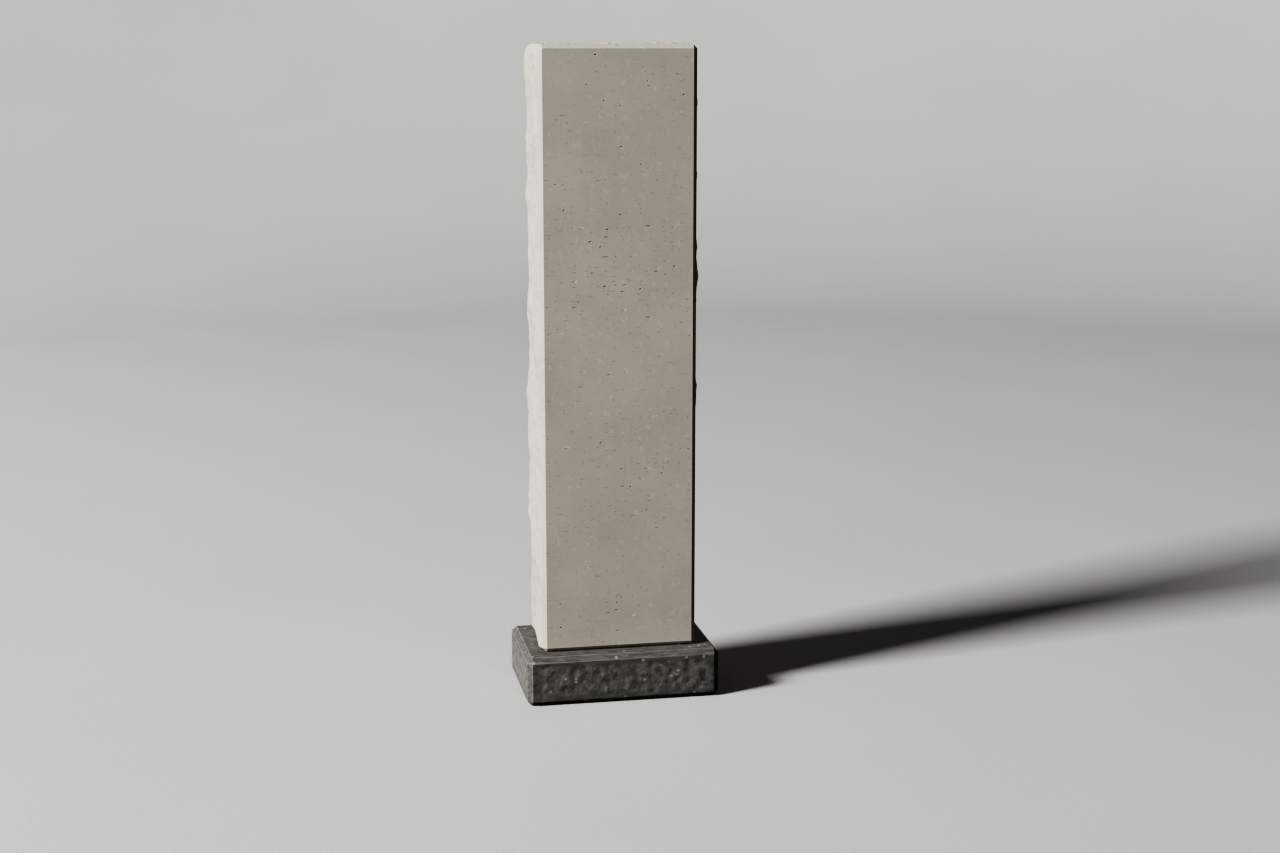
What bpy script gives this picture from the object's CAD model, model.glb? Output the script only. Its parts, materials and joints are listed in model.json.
"""The looks of a grave stele: a limestone slab on a plinth of dark stone, with its floor, light and camera.

Metres, +Z up, the front facing -Y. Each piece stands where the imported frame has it.
"""

import json
import math
import random

import bmesh
import bpy
from mathutils import Euler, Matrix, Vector, noise


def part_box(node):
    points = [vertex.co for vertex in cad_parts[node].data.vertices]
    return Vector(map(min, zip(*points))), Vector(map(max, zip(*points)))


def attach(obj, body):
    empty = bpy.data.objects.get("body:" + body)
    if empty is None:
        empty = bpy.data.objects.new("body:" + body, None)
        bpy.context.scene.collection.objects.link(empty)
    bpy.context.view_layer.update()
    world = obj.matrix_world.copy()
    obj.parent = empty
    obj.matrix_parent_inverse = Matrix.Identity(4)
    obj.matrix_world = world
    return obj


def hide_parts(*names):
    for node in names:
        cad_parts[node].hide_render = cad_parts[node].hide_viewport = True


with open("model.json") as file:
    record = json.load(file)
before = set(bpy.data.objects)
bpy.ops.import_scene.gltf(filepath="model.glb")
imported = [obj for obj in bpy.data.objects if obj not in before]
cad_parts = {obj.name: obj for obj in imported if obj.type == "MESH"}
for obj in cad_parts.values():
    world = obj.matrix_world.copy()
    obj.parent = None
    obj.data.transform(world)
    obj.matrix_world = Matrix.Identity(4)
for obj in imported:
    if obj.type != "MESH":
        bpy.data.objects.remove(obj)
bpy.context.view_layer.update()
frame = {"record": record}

bl_info = {
    "name": "Grave Stele",
    "version": (1, 0, 0),
    "blender": (4, 5, 0),
    "location": "3D View > Sidebar > Stele",
    "description": "Builds a limestone stele on a dark plinth, with its floor, light and camera",
    "category": "Add Mesh",
}

PIECES = ("slab_stone", "plinth_stone")

SLAB_LOW, SLAB_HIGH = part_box("slab")
PLINTH_LOW, PLINTH_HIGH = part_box("plinth")
MOUNTS = {mount["name"]: Vector(mount["pos_m"]) for mount in frame["record"]["mounts"]}
FRONT_MIDDLE = MOUNTS["front_panel"]

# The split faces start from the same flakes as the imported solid
LEFT_SPLIT = Vector((28.0, 0.0, 1129.17))
RIGHT_SPLIT = Vector((53.0, 0.0, 0.0))
TOP_SPLIT = Vector((847.76, 0.0, 47.0))

# The largest pores of the front, in millimetres: right of the middle, above the bed, length, height,
# and the angle that they are turned by, in degrees
LARGE_PORES = (
    (-45, 1134, 6, 3, 0), (124, 1062, 5, 3, 20), (-60, 1080, 4, 2, 0), (-103, 1024, 9, 1, 3),
    (2, 1041, 4, 2, 0), (-28, 1051, 4, 3, 0), (5, 966, 7, 2, 0), (46, 933, 7, 2, -50),
    (-104, 850, 4, 3, 0), (51, 820, 12, 2, 0), (2, 839, 4, 3, 0), (-79, 815, 10, 1, -3),
    (-21, 813, 9, 3, 4), (-17, 799, 12, 2, 0), (-55, 793, 8, 3, 3), (-34, 782, 5, 3, 25),
    (-22, 762, 12, 2, 0), (110, 742, 6, 3, 5), (71, 733, 10, 2, -8), (94, 727, 8, 2, 5),
    (-29, 707, 7, 3, 20), (12, 709, 8, 2, 10), (41, 701, 4, 4, 0), (7, 696, 9, 2, -5),
    (55, 647, 13, 2, -6), (-80, 667, 10, 2, 5), (-16, 539, 5, 2, 0), (101, 460, 8, 1, 0),
    (-81, 746, 4, 2, 0), (-48, 732, 5, 2, 0), (-115, 96, 4, 2, 0),
    (-33, 406, 6, 3, 20), (-102, 400, 9, 1, 0), (2, 357, 6, 3, 0), (81, 342, 6, 3, -15),
    (5, 323, 11, 2, 0), (22, 320, 5, 3, 0), (-65, 258, 9, 1, 5), (5, 103, 6, 2, 0),
    (-6, 80, 9, 2, -6), (-22, 71, 9, 2, 8), (-114, 49, 5, 3, 0), (-2, 37, 6, 2, 10),
)
# Bands of the front where pores lie closer, as heights above the bed
POROUS_BANDS = ((0.600, 0.830), (0.240, 0.430))

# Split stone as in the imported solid: the seed that its flakes wander from and how far they wander,
# their middle level, and the chips over them
FLAKE_SEED = 1795859443
FLAKE_WANDER = 0.012
FLAKE_MIDDLE = 0.27
CHIP_SIZE = 0.030
CHIP_DEPTH = 0.0010

# What the solid leaves out: small chips and splinters, drawn out through the slab's thickness, and grain
DETAIL_STRETCH = 0.5
DETAIL_MIDDLE = 0.32
SMALL_CHIP_SIZE = 0.026
SMALL_CHIP_DEPTH = 0.0026
SPLINTER_SIZE = 0.011
SPLINTER_DEPTH = 0.0009
GRAIN_SIZE = 0.006
GRAIN_DEPTH = 0.0003
CROWN_DETAIL = 1.2
CROWN_DROP = 0.0006

# Pointed stone: the small pits and the grain in it
PIT_SIZE = 0.0065
PIT_DEPTH = 0.0003
POINT_GRAIN_SIZE = 0.003
POINT_GRAIN_DEPTH = 0.00008

# The relief of split and pointed faces grows to its full height over this distance from an edge
RELIEF_FADE = 0.010

# The front is divided into cells of about this size, each with one pore at most
PORE_CELL_WIDTH = 0.016
PORE_CELL_HEIGHT = 0.009

# The floor and its wall, which meet in a bend
FLOOR_RADIUS = 9.5
WALL_HEIGHT = 7.0
WALL_BEND = 4.0

# The camera that was fitted to the photo: focal length in millimetres, place, tilt and turn
CAMERA_LENS = 56.92
CAMERA_PLACE = (-0.6869, -3.7987, 1.2548)
CAMERA_TILT = math.radians(79.206)
CAMERA_TURN = math.radians(-11.041)

# Points this near a plane are on it, larger faces than this are shaded flat, and sharper edges stay sharp
ON_PLANE = 1e-5
BROAD_FACE = 0.0005
SHARP_ANGLE = math.radians(30.0)
MILLIMETRE = 0.001


class SlabSettings(bpy.types.PropertyGroup):
    """Sizes and colours of the slab."""

    width: bpy.props.FloatProperty(
        name="Width", description="Width of the slab between its split faces",
        default=0.300, min=0.1, unit="LENGTH",
    )
    chamfer: bpy.props.FloatProperty(
        name="Chamfer", description="Leg of the 45 degree chamfer along the edges",
        default=0.0078, min=0.001, unit="LENGTH",
    )
    flake_size: bpy.props.FloatProperty(
        name="Flake size", description="Distance between the flakes of the split faces",
        default=0.102, min=0.02, unit="LENGTH",
    )
    side_relief: bpy.props.FloatProperty(
        name="Side relief", description="Relief of the flakes at the left and right",
        default=0.0115, min=0.0, unit="LENGTH",
    )
    top_relief: bpy.props.FloatProperty(
        name="Top relief", description="Relief of the flakes on the top",
        default=0.0070, min=0.0, unit="LENGTH",
    )
    mesh_pitch: bpy.props.FloatProperty(
        name="Mesh pitch", description="Distance between the mesh lines of the split faces",
        default=0.0027, min=0.002, unit="LENGTH",
    )
    pore_share: bpy.props.FloatProperty(
        name="Pores", description="Share of the front's cells that hold a pore",
        default=0.13, min=0.0, max=1.0, subtype="FACTOR",
    )
    stone: bpy.props.FloatVectorProperty(
        name="Stone", description="Colour of the limestone",
        default=(0.572, 0.527, 0.443), subtype="COLOR",
    )
    shell: bpy.props.FloatVectorProperty(
        name="Shell", description="Colour of the shell fragments in it",
        default=(0.76, 0.70, 0.585), subtype="COLOR",
    )
    pore: bpy.props.FloatVectorProperty(
        name="Pore", description="Colour of the dirt in its pores",
        default=(0.10, 0.088, 0.07), subtype="COLOR",
    )


class PlinthSettings(bpy.types.PropertyGroup):
    """Sizes and colours of the plinth."""

    chamfer: bpy.props.FloatProperty(
        name="Chamfer", description="Leg of the 45 degree chamfer along the edges",
        default=0.0095, min=0.001, unit="LENGTH",
    )
    arris: bpy.props.FloatProperty(
        name="Arris", description="Width that the sharp edges are worn round by",
        default=0.0012, min=0.0001, unit="LENGTH",
    )
    margin: bpy.props.FloatProperty(
        name="Margin", description="Mean width of the smooth margin round each pointed side",
        default=0.004, min=0.0, unit="LENGTH",
    )
    dent_size: bpy.props.FloatProperty(
        name="Dent size", description="Distance between the dents of the pointed sides",
        default=0.017, min=0.004, unit="LENGTH",
    )
    dent_depth: bpy.props.FloatProperty(
        name="Dent depth", description="Depth of the dents of the pointed sides",
        default=0.0011, min=0.0, unit="LENGTH",
    )
    mesh_pitch: bpy.props.FloatProperty(
        name="Mesh pitch", description="Distance between the mesh lines of the pointed sides",
        default=0.0018, min=0.001, unit="LENGTH",
    )
    stone: bpy.props.FloatVectorProperty(
        name="Stone", description="Colour of the dark stone",
        default=(0.150, 0.148, 0.136), subtype="COLOR",
    )
    warm: bpy.props.FloatVectorProperty(
        name="Warm stone", description="Colour of the browner patches in it",
        default=(0.163, 0.151, 0.137), subtype="COLOR",
    )
    speck: bpy.props.FloatVectorProperty(
        name="Speck", description="Colour of the light specks in it",
        default=(0.42, 0.41, 0.38), subtype="COLOR",
    )


class StageSettings(bpy.types.PropertyGroup):
    """The floor, the light and the camera."""

    floor: bpy.props.FloatVectorProperty(
        name="Floor", description="Colour of the floor and the backdrop",
        default=(0.62, 0.615, 0.60), subtype="COLOR",
    )
    key_power: bpy.props.FloatProperty(
        name="Key power", description="Power of the softbox at the left, in watts",
        default=6320.0, min=0.0, unit="POWER",
    )
    key_size: bpy.props.FloatProperty(
        name="Key size", description="Side of the square softbox",
        default=4.0, min=0.1, unit="LENGTH",
    )
    key_distance: bpy.props.FloatProperty(
        name="Key distance", description="Distance of the softbox from the middle of the slab",
        default=20.0, min=1.0, unit="LENGTH",
    )
    key_turn: bpy.props.FloatProperty(
        name="Key turn", description="Angle of the softbox from the front towards the left",
        default=math.radians(71.8), unit="ROTATION",
    )
    key_rise: bpy.props.FloatProperty(
        name="Key rise", description="Angle of the softbox above the floor",
        default=math.radians(28.1), unit="ROTATION",
    )
    back_power: bpy.props.FloatProperty(
        name="Back power", description="Power of the softbox behind the stele, in watts",
        default=110.0, min=0.0, unit="POWER",
    )
    back_size: bpy.props.FloatProperty(
        name="Back size", description="Side of the square softbox behind the stele",
        default=2.0, min=0.1, unit="LENGTH",
    )
    back_distance: bpy.props.FloatProperty(
        name="Back distance", description="Distance of the back softbox from the middle of the slab",
        default=5.0, min=1.0, unit="LENGTH",
    )
    back_turn: bpy.props.FloatProperty(
        name="Back turn", description="Angle of the back softbox from the front towards the left",
        default=math.radians(-150.0), unit="ROTATION",
    )
    back_rise: bpy.props.FloatProperty(
        name="Back rise", description="Angle of the back softbox above the floor",
        default=math.radians(2.0), unit="ROTATION",
    )
    fill: bpy.props.FloatProperty(
        name="Fill", description="Strength of the even light from all sides",
        default=0.045, min=0.0,
    )


def along(axis):
    """The unit vector of an axis, 0 for X, 1 for Y and 2 for Z."""
    direction = Vector((0.0, 0.0, 0.0))
    direction[axis] = 1.0
    return direction


def chamfered_block(low, high, chamfer):
    """A block between two corners, with all its edges cut off at 45 degrees."""
    bm = bmesh.new()
    for name in ("rough", "pore", "worn", "sawn"):
        bm.verts.layers.float.new(name)
    bmesh.ops.create_cube(bm, size=1.0)
    bmesh.ops.scale(bm, vec=high - low, verts=bm.verts)
    bmesh.ops.translate(bm, vec=(low + high) / 2, verts=bm.verts)
    bmesh.ops.bevel(
        bm, geom=bm.edges[:], affect="EDGES", offset_type="OFFSET", offset=chamfer,
        segments=1, profile=0.5, material=-1,
    )
    bm.normal_update()
    return bm


def wear_arrises(bm, low, high, chamfer, width):
    """Rounds the edges of a chamfered block a little, and paints the middle of each as worn."""
    bmesh.ops.bevel(
        bm, geom=bm.edges[:], affect="EDGES", offset_type="WIDTH", offset=width,
        segments=2, profile=0.5, material=-1,
    )
    bm.normal_update()
    worn = {}
    for vert in bm.verts:
        x, y, z = (min(vert.co[axis] - low[axis], high[axis] - vert.co[axis]) for axis in range(3))
        planes = (x, y, z, x + y - chamfer, y + z - chamfer, x + z - chamfer, x + y + z - 2 * chamfer)
        if min(abs(gap) for gap in planes) > ON_PLANE:
            worn[vert] = 1.0
    paint_points(bm, "worn", worn)


def cut_rows(bm, wanted, axis, length, pitch):
    """Cuts the wanted faces into equal rows along an axis, about one pitch wide."""
    direction = along(axis)
    edges = [
        edge
        for edge in bm.edges
        if any(wanted(face.normal) for face in edge.link_faces)
        and abs((edge.verts[1].co - edge.verts[0].co).normalized().dot(direction)) > 0.999
    ]
    cuts = max(0, round(length / pitch) - 1)
    bmesh.ops.subdivide_edges(bm, edges=edges, cuts=cuts)
    bm.normal_update()


def eased(distance, reach):
    """0 at an edge, rising smoothly to 1 at the reach."""
    share = min(max(distance / reach, 0.0), 1.0)
    return share * share * (3.0 - 2.0 * share)


def split_relief(point, depth, flake_size):
    """How far split stone stands out at a point: concave flakes with ridges where they meet."""
    wander = noise.noise_vector(point / (0.6 * flake_size)) * FLAKE_WANDER
    nearest = noise.voronoi((point + wander) / flake_size)[0]
    chips = noise.fractal(point / CHIP_SIZE, 1.0, 2.0, 3)
    return depth * (nearest[0] ** 2 - FLAKE_MIDDLE) + CHIP_DEPTH * chips


def split_detail(point):
    """The smaller chips and the grain on split stone, drawn out through the slab's thickness."""
    point = Vector((point.x, DETAIL_STRETCH * point.y, point.z))
    wander = noise.noise_vector(point / 0.015) * 0.005
    chips = noise.voronoi((point + wander) / SMALL_CHIP_SIZE)[0]
    splinters = noise.voronoi((point + wander) / SPLINTER_SIZE)[0]
    relief = SMALL_CHIP_DEPTH * (chips[0] ** 2 - DETAIL_MIDDLE)
    relief += SPLINTER_DEPTH * (splinters[0] ** 2 - DETAIL_MIDDLE)
    return relief + GRAIN_DEPTH * noise.fractal(point / GRAIN_SIZE, 0.8, 2.2, 3)


def pointed_relief(point, dent_size, dent_depth):
    """How far pointed stone lies back at a point: soft dents between low knobs."""
    dents = noise.fractal(point / dent_size, 2.0, 2.0, 2)
    return -dent_depth * min(max(0.45 - dents, 0.0), 1.0)


def pointed_detail(point):
    """The small pits and the grain on pointed stone, which lie under its surface."""
    pits = noise.noise(point / PIT_SIZE)
    grain = noise.fractal(point / POINT_GRAIN_SIZE, 0.8, 2.2, 2)
    return -PIT_DEPTH * max(0.0, pits) - POINT_GRAIN_DEPTH * abs(grain)


def paint_points(bm, name, values):
    """Stores one number for each vertex, for the material to read. The rest hold 0."""
    layer = bm.verts.layers.float[name]
    for vert, value in values.items():
        vert[layer] = value


def split_slab_faces(bm, low, high, settings):
    """Splits the left, right and top faces. The relief dies away at the front and top chamfers."""
    middle = (low.x + high.x) / 2
    edge = settings.chamfer
    noise.seed_set(FLAKE_SEED)
    moves = {}
    rough = {}
    for vert in bm.verts:
        x, y, z = vert.co
        deep = y - low.y
        if min(abs(x - low.x), abs(x - high.x)) < ON_PLANE:
            side = 1.0 if x > middle else -1.0
            point = Vector((0.0, deep, z - low.z)) + (RIGHT_SPLIT if x > middle else LEFT_SPLIT)
            relief = split_relief(point, settings.side_relief, settings.flake_size)
            outward = along(0) * side
            hold = eased(min(deep - edge, high.z - edge - z), RELIEF_FADE)
        elif abs(z - high.z) < ON_PLANE:
            point = Vector((x - middle, deep, 0.0)) + TOP_SPLIT
            relief = split_relief(point, settings.top_relief, settings.flake_size)
            relief += CROWN_DETAIL * split_detail(point) - CROWN_DROP
            outward = along(2)
            hold = eased(min(deep - edge, x - low.x - edge, high.x - edge - x), RELIEF_FADE)
        else:
            continue
        moves[vert] = outward * (relief + split_detail(point)) * hold
        rough[vert] = hold
    paint_points(bm, "rough", rough)
    paint_points(bm, "sawn", {vert: 1.0 for vert in bm.verts if abs(vert.co.y - high.y) < ON_PLANE})
    for vert, move in moves.items():
        vert.co += move
        vert.co.z = min(vert.co.z, SLAB_HIGH.z)


def open_pore(bm, face, centre, length, height, turn, depth, draw):
    """Sinks one irregular pore into a cell of the front."""
    middle = face.calc_center_median()
    bmesh.ops.inset_individual(bm, faces=[face], thickness=0.4 * MILLIMETRE, use_even_offset=True)
    bmesh.ops.bisect_edges(bm, edges=face.edges[:], cuts=1 if length < 4 * MILLIMETRE else 2)
    wide = max(abs(vert.co.x - middle.x) for vert in face.verts)
    tall = max(abs(vert.co.z - middle.z) for vert in face.verts)
    for vert in face.verts:
        angle = math.atan2((vert.co.z - middle.z) / tall, (vert.co.x - middle.x) / wide) - turn
        swell = draw.uniform(0.65, 1.15)
        right = 0.5 * length * swell * math.cos(angle)
        up = 0.5 * height * swell * math.sin(angle)
        vert.co.x = centre.x + right * math.cos(turn) - up * math.sin(turn)
        vert.co.z = centre.z + right * math.sin(turn) + up * math.cos(turn)
    floor = bmesh.ops.extrude_discrete_faces(bm, faces=[face])["faces"][0]
    dirt = bm.verts.layers.float["pore"]
    for vert in floor.verts:
        vert.co = centre + (vert.co - centre) * 0.6
        vert.co.y = centre.y + depth * draw.uniform(0.7, 1.1)
        vert[dirt] = 1.0


def open_pores(bm, low, high, settings):
    """Pores in the honed front: the largest at their places, and small ones drawn at random."""
    draw = random.Random(58)
    reach = high.x - low.x - 2 * settings.chamfer
    rise = high.z - low.z - 2 * settings.chamfer
    left, bottom = low.x + settings.chamfer, low.z + settings.chamfer
    columns, rows = round(reach / PORE_CELL_WIDTH), round(rise / PORE_CELL_HEIGHT)
    cell = Vector((reach / columns, 0.0, rise / rows))

    def front(normal):
        return normal.y < -0.9

    cut_rows(bm, front, 0, reach, cell.x)
    cut_rows(bm, front, 2, rise, cell.z)
    cells = {}
    for face in bm.faces:
        if front(face.normal):
            middle = face.calc_center_median()
            cells[(int((middle.x - left) / cell.x), int((middle.z - bottom) / cell.z))] = face
    planned = {}
    for right, up, length, height, turn in LARGE_PORES:
        place = Vector((FRONT_MIDDLE.x + right * MILLIMETRE, low.y, low.z + up * MILLIMETRE))
        key = (int((place.x - left) / cell.x), int((place.z - bottom) / cell.z))
        planned[key] = (place, length * MILLIMETRE, height * MILLIMETRE, math.radians(turn))
    for key in sorted(cells):
        middle = cells[key].calc_center_median()
        above_bed = middle.z - low.z
        porous = any(start < above_bed < end for start, end in POROUS_BANDS)
        chance = settings.pore_share * (2.0 if porous else 0.6)
        if draw.random() > chance or key in planned:
            continue
        long = draw.random() < 0.6
        length = draw.uniform(3.6, 8.5) if long else draw.uniform(1.6, 3.0)
        height = draw.uniform(0.7, 1.3) if long else length * draw.uniform(0.55, 0.9)
        shift = Vector((draw.uniform(-0.2, 0.2) * cell.x, 0.0, draw.uniform(-0.2, 0.2) * cell.z))
        turn = math.radians(draw.gauss(0.0, 14.0))
        planned[key] = (middle + shift, length * MILLIMETRE, height * MILLIMETRE, turn)
    for key in sorted(planned):
        face = cells.get(key)
        if face is None:
            continue
        place, length, height, turn = planned[key]
        middle = face.calc_center_median()
        slack_x = max(0.0, 0.46 * cell.x - 0.58 * length)
        slack_z = max(0.0, 0.46 * cell.z - 0.58 * height - 0.5 * length * abs(math.sin(turn)))
        place.x = min(max(place.x, middle.x - slack_x), middle.x + slack_x)
        place.z = min(max(place.z, middle.z - slack_z), middle.z + slack_z)
        depth = 0.45 * height + 0.4 * MILLIMETRE
        open_pore(bm, face, place, length, height, turn, depth, draw)


def finished(name, bm, material, node):
    """Turns a mesh into a piece that rides on the stele and stands for its CAD node."""
    mesh = bpy.data.meshes.new(name)
    bm.normal_update()
    bm.to_mesh(mesh)
    bm.free()
    mesh.shade_smooth()
    mesh.set_sharp_from_angle(angle=SHARP_ANGLE)
    for face in mesh.polygons:
        if face.area > BROAD_FACE:
            face.use_smooth = False
    mesh.materials.append(material)
    piece = bpy.data.objects.new(name, mesh)
    bpy.context.scene.collection.objects.link(piece)
    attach(piece, "root")
    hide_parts(node)
    return piece


class Surface:
    """A material under construction: a Principled shader and the nodes that feed it."""

    def __init__(self, name, sheen=0.5):
        self.material = bpy.data.materials.new(name)
        self.material.use_nodes = True
        self.tree = self.material.node_tree
        self.shader = self.tree.nodes["Principled BSDF"]
        self.shader.inputs["Specular IOR Level"].default_value = sheen
        self.place = self.node("ShaderNodeTexCoord").outputs["Object"]

    def node(self, kind, **values):
        """Adds a node, sets its properties, and sets or links its inputs by name or number."""
        added = self.tree.nodes.new(kind)
        inputs = values.pop("inputs", {})
        for name, value in values.items():
            setattr(added, name, value)
        for socket, value in inputs.items():
            if isinstance(value, bpy.types.NodeSocket):
                self.tree.links.new(value, added.inputs[socket])
            else:
                added.inputs[socket].default_value = value
        return added

    def scaled(self, x, y, z):
        """The object's coordinates, stretched along each axis."""
        mapping = self.node("ShaderNodeMapping", inputs={"Vector": self.place, "Scale": (x, y, z)})
        return mapping.outputs["Vector"]

    def noise(self, scale, detail=2.0, roughness=0.5, vector=None, distortion=0.0):
        """Smooth noise around 0.5."""
        inputs = {
            "Vector": vector or self.place, "Scale": scale, "Detail": detail,
            "Roughness": roughness, "Distortion": distortion,
        }
        return self.node("ShaderNodeTexNoise", inputs=inputs).outputs["Fac"]

    def cells(self, scale, vector=None):
        """Scattered cells: their distance and a random colour for each."""
        inputs = {"Vector": vector or self.place, "Scale": scale}
        return self.node("ShaderNodeTexVoronoi", inputs=inputs)

    def math(self, operation, first, second):
        """The result of one operation on two values."""
        return self.node("ShaderNodeMath", operation=operation, inputs={0: first, 1: second}).outputs[0]

    def span(self, value, low, high, to_low=0.0, to_high=1.0):
        """A value taken from one range to another, and held inside it."""
        inputs = {"Value": value, "From Min": low, "From Max": high, "To Min": to_low, "To Max": to_high}
        return self.node("ShaderNodeMapRange", clamp=True, inputs=inputs).outputs["Result"]

    def attribute(self, name):
        """A number that the mesh holds for each point."""
        return self.node("ShaderNodeAttribute", attribute_name=name).outputs["Fac"]

    def mix(self, share, first, second, blend="MIX"):
        """Two colours mixed."""
        added = self.node("ShaderNodeMix", data_type="RGBA", blend_type=blend)
        for socket, value in ((0, share), (6, first), (7, second)):
            if isinstance(value, bpy.types.NodeSocket):
                self.tree.links.new(value, added.inputs[socket])
            else:
                added.inputs[socket].default_value = value
        return added.outputs[2]

    def lay(self, colour, mask, share, paint):
        """A paint laid over a colour where the mask is 1, so that its share shows."""
        return self.mix(self.math("MULTIPLY", mask, share), colour, opaque(paint))

    def scattered(self, scale, size, share, vector=None):
        """Sparse round spots: 1 inside a spot. The share of the cells that hold one is a random choice."""
        cells = self.cells(scale, vector)
        inside = self.span(cells.outputs["Distance"], size, 0.6 * size)
        parts = self.node("ShaderNodeSeparateColor", inputs={0: cells.outputs["Color"]})
        chosen = self.math("LESS_THAN", parts.outputs[0], share)
        return self.math("MULTIPLY", inside, chosen)

    def finish(self, colour, roughness, height, distance):
        """Links the colour, the roughness and the bump."""
        bump = self.node("ShaderNodeBump", inputs={"Height": height, "Distance": distance})
        self.tree.links.new(bump.outputs["Normal"], self.shader.inputs["Normal"])
        self.tree.links.new(roughness, self.shader.inputs["Roughness"])
        self.tree.links.new(colour, self.shader.inputs["Base Color"])
        return self.material


def opaque(colour):
    """A colour with its alpha."""
    return (*colour, 1.0)


def tinted(colour, factor):
    """A colour made lighter or darker."""
    return (*(channel * factor for channel in colour), 1.0)


def limestone(settings):
    """Pale shelly limestone: clouds, shell fragments, dark specks, dirt in its pores, saw marks behind."""
    stone = Surface("limestone", 0.2)
    clouds = stone.noise(8.0, 3.0)
    colour = stone.mix(
        stone.span(clouds, 0.35, 0.65), tinted(settings.stone, 0.95), tinted(settings.stone, 1.05)
    )
    swirl = stone.node("ShaderNodeTexNoise", inputs={"Vector": stone.place, "Scale": 130.0, "Detail": 2.0})
    warped = stone.node(
        "ShaderNodeVectorMath", operation="MULTIPLY_ADD",
        inputs={0: swirl.outputs["Color"], 1: (0.010, 0.010, 0.010), 2: stone.place},
    ).outputs[0]
    shells = stone.span(stone.noise(85.0, 2.0, 0.6, distortion=0.6), 0.60, 0.70)
    colour = stone.lay(colour, shells, 0.38, settings.shell)
    crumbs = stone.scattered(120.0, 0.32, 0.12, warped)
    colour = stone.lay(colour, crumbs, 0.22, settings.shell)
    streaks = stone.span(stone.noise(70.0, 3.0, 0.6, stone.scaled(1.0, 1.0, 3.2)), 0.36, 0.28)
    colour = stone.lay(colour, streaks, 0.34, settings.pore)
    specks = stone.scattered(190.0, 0.24, 0.10, warped)
    colour = stone.lay(colour, specks, 0.40, settings.pore)
    grain = stone.noise(900.0, 2.0, 0.6)
    colour = stone.mix(
        1.0, colour, stone.mix(grain, (0.95, 0.95, 0.95, 1.0), (1.05, 1.05, 1.05, 1.0)), "MULTIPLY"
    )
    rough = stone.attribute("rough")
    pore = stone.attribute("pore")
    colour = stone.lay(colour, pore, 0.65, settings.pore)
    grooves = stone.noise(5.0, 4.0, 0.7, stone.scaled(0.25, 1.0, 34.0))
    sawn = stone.math("MULTIPLY", stone.attribute("sawn"), stone.span(grooves, 0.30, 0.70))
    colour = stone.lay(colour, sawn, 0.07, settings.pore)
    coarse = stone.noise(260.0, 5.0, 0.65)
    height = stone.math(
        "ADD", stone.math("MULTIPLY", coarse, rough), stone.math("MULTIPLY", grain, 0.10)
    )
    height = stone.math("SUBTRACT", height, stone.math("MULTIPLY", sawn, 0.45))
    honed = stone.span(grain, 0.35, 0.65, 0.80, 0.90)
    roughness = stone.math("ADD", honed, stone.math("MULTIPLY", rough, 0.06))
    return stone.finish(colour, roughness, height, 0.0012)


def dark_stone(settings):
    """Dark stone in grey and brown patches, with light specks, streaks on its smooth faces, worn arrises."""
    stone = Surface("dark_stone", 0.2)
    patches = stone.noise(55.0, 3.0, 0.55)
    colour = stone.mix(stone.span(patches, 0.40, 0.60), opaque(settings.stone), opaque(settings.warm))
    shades = stone.span(stone.noise(75.0, 4.0, 0.6), 0.34, 0.66, 0.70, 1.50)
    rough = stone.attribute("rough")
    streaks = stone.noise(40.0, 4.0, 0.6, stone.scaled(0.9, 4.5, 4.5))
    drawn = stone.span(streaks, 0.34, 0.66, 0.58, 1.14)
    shade = stone.node("ShaderNodeMix", data_type="FLOAT", inputs={0: rough, 2: drawn, 3: shades}).outputs[0]
    tone = stone.node("ShaderNodeCombineColor", inputs={0: shade, 1: shade, 2: shade}).outputs[0]
    colour = stone.mix(1.0, colour, tone, "MULTIPLY")
    specks = stone.scattered(60.0, 0.21, 0.60)
    colour = stone.lay(colour, specks, 0.80, settings.speck)
    dust = stone.scattered(200.0, 0.24, 0.15)
    colour = stone.lay(colour, dust, 0.35, settings.speck)
    worn = stone.attribute("worn")
    colour = stone.lay(colour, worn, 0.70, settings.speck)
    coarse = stone.noise(330.0, 4.0, 0.6)
    height = stone.math("ADD", stone.math("MULTIPLY", coarse, rough), stone.math("MULTIPLY", coarse, 0.25))
    smooth = stone.span(coarse, 0.35, 0.65, 0.69, 0.79)
    roughness = stone.math("ADD", smooth, stone.math("MULTIPLY", rough, 0.06))
    return stone.finish(colour, roughness, height, 0.0004)


def plain_floor(settings):
    """A pale matt floor with hardly any pattern."""
    floor = Surface("pale_floor")
    clouds = floor.noise(1.6, 3.0)
    colour = floor.mix(
        floor.span(clouds, 0.3, 0.7), tinted(settings.floor, 0.985), tinted(settings.floor, 1.015)
    )
    return floor.finish(colour, floor.span(clouds, 0.3, 0.7, 0.88, 0.92), floor.noise(90.0, 3.0), 0.0003)


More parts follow.
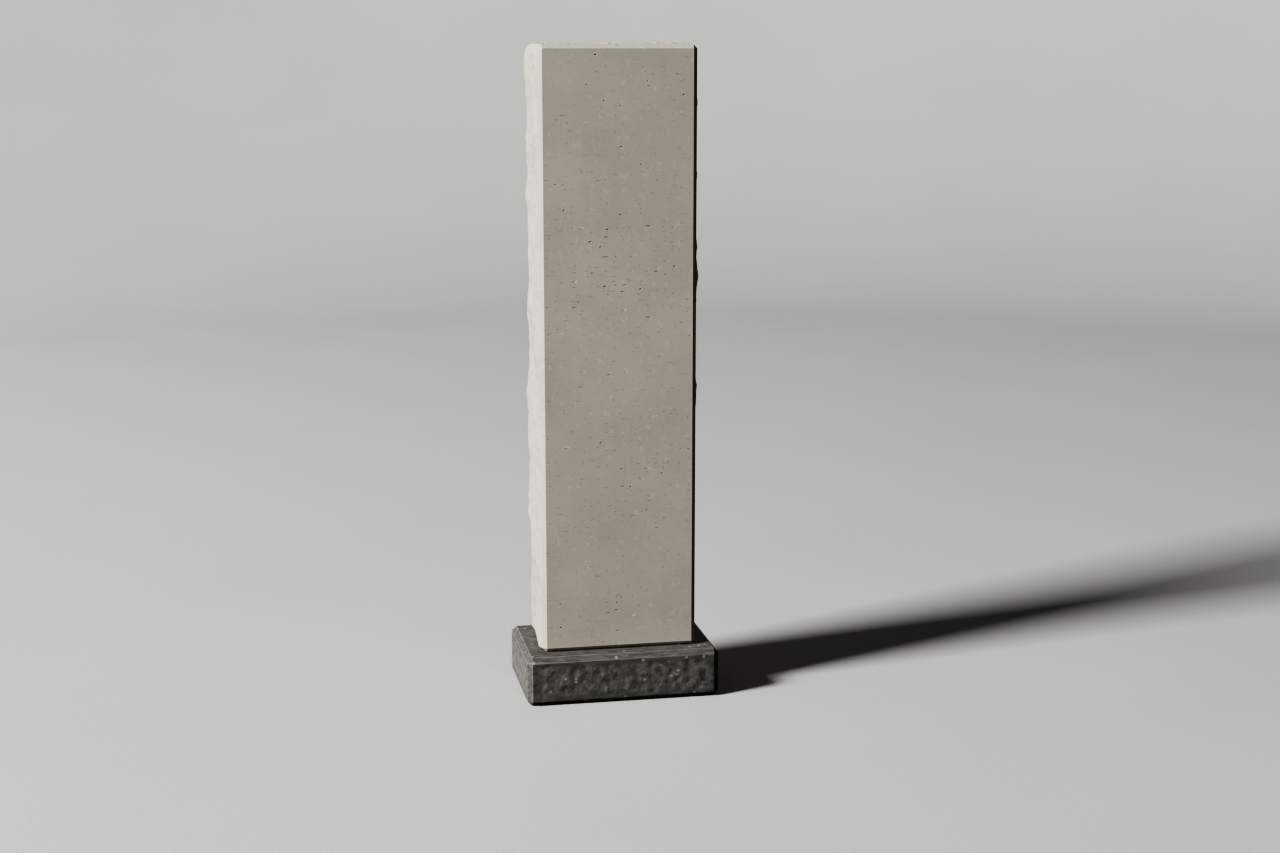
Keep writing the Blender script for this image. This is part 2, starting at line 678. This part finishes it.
class STELE_OT_slab(bpy.types.Operator):
    """Builds the limestone slab: honed front with pores, split sides and top, sawn back"""

    bl_idname = "stele.slab"
    bl_label = "Build slab"

    def execute(self, context):
        settings = context.scene.stele_slab
        low = Vector((FRONT_MIDDLE.x - settings.width / 2, FRONT_MIDDLE.y, SLAB_LOW.z))
        top = 2 * FRONT_MIDDLE.z - SLAB_LOW.z
        high = Vector((FRONT_MIDDLE.x + settings.width / 2, SLAB_HIGH.y, top))
        inner = high - low - 2 * settings.chamfer * Vector((1.0, 1.0, 1.0))
        bm = chamfered_block(low, high, settings.chamfer)

        def upright(normal):
            return abs(normal.x) > 0.6 and normal.y > -0.6 and abs(normal.z) < 0.6

        def flank_and_foot(normal):
            return abs(normal.x) > 0.6 and abs(normal.y) < 0.6 and normal.z < 0.6

        def upper(normal):
            return normal.z > 0.6 and normal.y > -0.6 and abs(normal.x) < 0.6

        def crown(normal):
            return normal.z > 0.9

        cut_rows(bm, upright, 2, inner.z, settings.mesh_pitch)
        cut_rows(bm, flank_and_foot, 1, inner.y, settings.mesh_pitch)
        cut_rows(bm, upper, 0, inner.x, settings.mesh_pitch)
        cut_rows(bm, crown, 1, inner.y, settings.mesh_pitch)
        open_pores(bm, low, high, settings)
        split_slab_faces(bm, low, high, settings)
        finished(PIECES[0], bm, limestone(settings), "slab")
        return {"FINISHED"}


class STELE_OT_plinth(bpy.types.Operator):
    """Builds the plinth: smooth top and chamfers, and pointed sides"""

    bl_idname = "stele.plinth"
    bl_label = "Build plinth"

    def execute(self, context):
        settings = context.scene.stele_plinth
        low, high = PLINTH_LOW, PLINTH_HIGH
        bm = chamfered_block(low, high, settings.chamfer)
        wear_arrises(bm, low, high, settings.chamfer, settings.arris)
        inner = high - low - 2 * settings.chamfer * Vector((1.0, 1.0, 1.0))

        def side(normal):
            return max(abs(normal.x), abs(normal.y)) > 0.999

        def long_side(normal):
            return abs(normal.y) > 0.999

        def short_side(normal):
            return abs(normal.x) > 0.999

        cut_rows(bm, side, 2, inner.z, settings.mesh_pitch)
        cut_rows(bm, long_side, 0, inner.x, settings.mesh_pitch)
        cut_rows(bm, short_side, 1, inner.y, settings.mesh_pitch)
        self.point_sides(bm, low, high, settings)
        finished(PIECES[1], bm, dark_stone(settings), "plinth")
        return {"FINISHED"}

    def point_sides(self, bm, low, high, settings):
        """Points the four sides inside their margins, which stay on the block's own planes."""
        edge = settings.chamfer
        rough = {}
        for vert in bm.verts:
            place = vert.co.copy()
            level = min(place.z - low.z, high.z - place.z) - edge
            for axis, other in ((1, 0), (0, 1)):
                if min(abs(place[axis] - low[axis]), abs(place[axis] - high[axis])) > ON_PLANE:
                    continue
                across = min(place[other] - low[other], high[other] - place[other]) - edge
                outward = along(axis) * (1.0 if place[axis] > 0 else -1.0)
                margin = settings.margin * (1.0 + noise.noise(place / settings.dent_size))
                hold = eased(min(level, across) - margin, RELIEF_FADE)
                relief = pointed_relief(place, settings.dent_size, settings.dent_depth)
                vert.co = place + outward * (relief + pointed_detail(place)) * hold
                rough[vert] = hold
                break
        paint_points(bm, "rough", rough)


class STELE_OT_stage(bpy.types.Operator):
    """Lays the pale floor, hangs the two softboxes and sets the camera"""

    bl_idname = "stele.stage"
    bl_label = "Set the stage"

    def execute(self, context):
        settings = context.scene.stele_stage
        self.lay_floor(settings)
        self.hang_softbox(
            "key_softbox", settings.key_power, settings.key_size,
            settings.key_distance, settings.key_turn, settings.key_rise,
        )
        back = self.hang_softbox(
            "back_softbox", settings.back_power, settings.back_size,
            settings.back_distance, settings.back_turn, settings.back_rise,
        )
        back.visible_glossy = False
        self.light_only_the_stele(back)
        self.fill_evenly(context.scene, settings)
        self.place_camera(context.scene)
        context.scene.view_settings.view_transform = "AgX"
        context.scene.view_settings.look = "AgX - Very High Contrast"
        return {"FINISHED"}

    def lay_floor(self, settings):
        """A round floor that curves up into a backdrop on all sides, and throws no light back."""
        bm = bmesh.new()
        bmesh.ops.create_circle(bm, cap_ends=True, segments=96, radius=FLOOR_RADIUS)
        rim = bm.edges[:]
        raised = bmesh.ops.extrude_edge_only(bm, edges=rim)["geom"]
        lifted = [item for item in raised if isinstance(item, bmesh.types.BMVert)]
        bmesh.ops.translate(bm, vec=(0.0, 0.0, WALL_HEIGHT), verts=lifted)
        bmesh.ops.bevel(
            bm, geom=rim, affect="EDGES", offset=WALL_BEND, segments=24, profile=0.5, material=-1
        )
        bmesh.ops.recalc_face_normals(bm, faces=bm.faces)
        mesh = bpy.data.meshes.new("floor")
        bm.to_mesh(mesh)
        bm.free()
        mesh.shade_smooth()
        mesh.materials.append(plain_floor(settings))
        floor = bpy.data.objects.new("floor", mesh)
        floor.visible_diffuse = False
        floor.visible_shadow = False
        bpy.context.scene.collection.objects.link(floor)

    def hang_softbox(self, name, power, size, distance, turn, rise):
        """A square softbox that faces the middle of the slab."""
        light = bpy.data.lights.new(name, "AREA")
        light.shape = "SQUARE"
        light.size = size
        light.energy = power
        softbox = bpy.data.objects.new(name, light)
        towards = Vector((
            -math.sin(turn) * math.cos(rise),
            -math.cos(turn) * math.cos(rise),
            math.sin(rise),
        ))
        softbox.location = Vector((0.0, 0.0, FRONT_MIDDLE.z)) + towards * distance
        softbox.rotation_euler = towards.to_track_quat("Z", "Y").to_euler()
        bpy.context.scene.collection.objects.link(softbox)
        return softbox

    def light_only_the_stele(self, softbox):
        """Keeps a softbox off the floor, so that it casts no second shadow there."""
        lit = bpy.data.collections.new("stele")
        for name in PIECES:
            lit.objects.link(bpy.data.objects[name])
        softbox.light_linking.receiver_collection = lit

    def fill_evenly(self, scene, settings):
        """Even light from all sides."""
        world = bpy.data.worlds.new("studio")
        world.use_nodes = True
        background = world.node_tree.nodes["Background"]
        background.inputs["Color"].default_value = (1.0, 1.0, 1.0, 1.0)
        background.inputs["Strength"].default_value = settings.fill
        scene.world = world

    def place_camera(self, scene):
        """The photo's viewpoint: level with the slab's top and a little to its left."""
        camera = bpy.data.cameras.new("camera")
        camera.lens = CAMERA_LENS
        camera.sensor_width = 36.0
        camera.sensor_fit = "HORIZONTAL"
        viewer = bpy.data.objects.new("camera", camera)
        viewer.location = CAMERA_PLACE
        viewer.rotation_euler = Euler((CAMERA_TILT, 0.0, CAMERA_TURN))
        scene.collection.objects.link(viewer)
        scene.camera = viewer


class STELE_PT_panel(bpy.types.Panel):
    """The pieces and the stage, with their settings."""

    bl_idname = "STELE_PT_panel"
    bl_label = "Grave Stele"
    bl_space_type = "VIEW_3D"
    bl_region_type = "UI"
    bl_category = "Stele"

    def draw(self, context):
        for group, operator in GROUPS:
            settings = getattr(context.scene, group)
            box = self.layout.box()
            for name in settings.__annotations__:
                box.prop(settings, name)
            box.operator(operator.bl_idname)


SETTINGS = {
    "stele_slab": SlabSettings,
    "stele_plinth": PlinthSettings,
    "stele_stage": StageSettings,
}
GROUPS = (
    ("stele_slab", STELE_OT_slab),
    ("stele_plinth", STELE_OT_plinth),
    ("stele_stage", STELE_OT_stage),
)
CLASSES = (*SETTINGS.values(), STELE_OT_slab, STELE_OT_plinth, STELE_OT_stage, STELE_PT_panel)


def register():
    for kind in CLASSES:
        bpy.utils.register_class(kind)
    for name, kind in SETTINGS.items():
        setattr(bpy.types.Scene, name, bpy.props.PointerProperty(type=kind))


def unregister():
    for name in SETTINGS:
        delattr(bpy.types.Scene, name)
    for kind in reversed(CLASSES):
        bpy.utils.unregister_class(kind)


def main():
    register()
    bpy.ops.stele.slab()
    bpy.ops.stele.plinth()
    bpy.ops.stele.stage()


if __name__ == "__main__":
    main()
